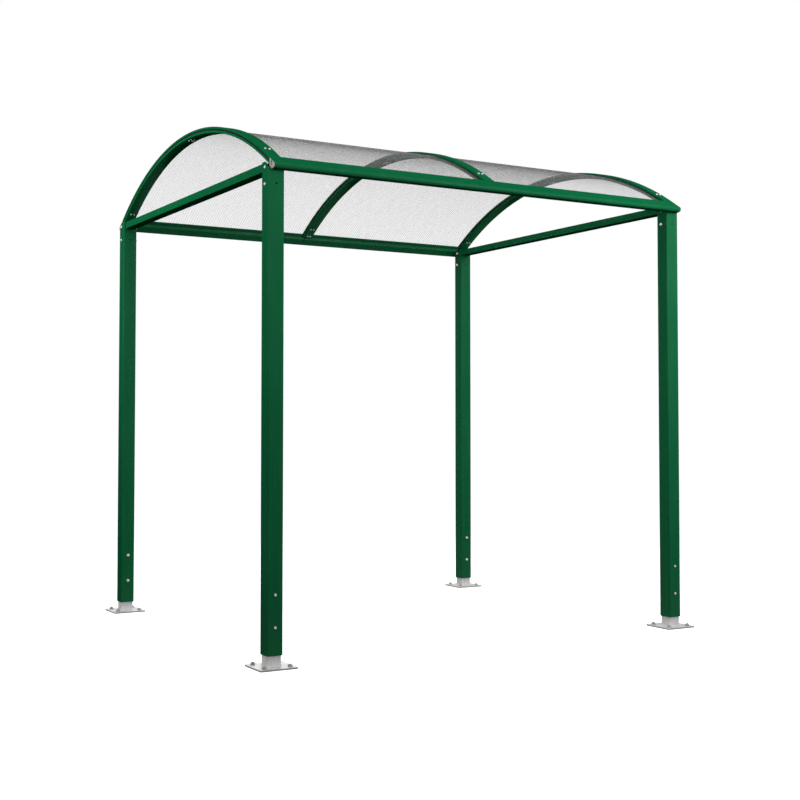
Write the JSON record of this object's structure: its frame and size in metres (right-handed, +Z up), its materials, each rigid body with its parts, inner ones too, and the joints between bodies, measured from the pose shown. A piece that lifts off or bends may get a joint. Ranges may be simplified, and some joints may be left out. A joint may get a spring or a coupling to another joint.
{
  "type": "waiting shelter",
  "caption": "Open waiting shelter: square posts on bolted base plates carry eaves beams, tie rails and curved ribs under a translucent barrel roof.",
  "frame": {"origin": "on the ground at the centre of the plan", "axes": "+X along the long front from left to right, +Y from the front to the back, +Z up"},
  "size_m": [2.61, 2.29, 2.6773],
  "materials": {
    "green_paint": "satin moss green powder coat on aluminium",
    "galvanised_steel": "hot-dip galvanised",
    "polycarbonate": "opal twin-wall sheet"
  },
  "bodies": {
    "root": {"foot_front_left": "galvanised_steel", "foot_front_right": "galvanised_steel", "foot_rear_left": "galvanised_steel", "foot_rear_right": "galvanised_steel", "post_front_left": "green_paint", "post_front_right": "green_paint", "post_rear_left": "green_paint", "post_rear_right": "green_paint", "tie_rail_left": "green_paint", "tie_rail_right": "green_paint", "eaves_beam_front": "green_paint", "eaves_beam_rear": "green_paint", "arch_left": "green_paint", "arch_middle": "green_paint", "arch_right": "green_paint", "arch_cap_left": "green_paint", "arch_cap_middle": "green_paint", "arch_cap_right": "green_paint", "roof_panel_left": "polycarbonate", "roof_panel_right": "polycarbonate", "arch_bracket_front": "green_paint", "arch_bracket_rear": "green_paint"}
  },
  "joints": []
}
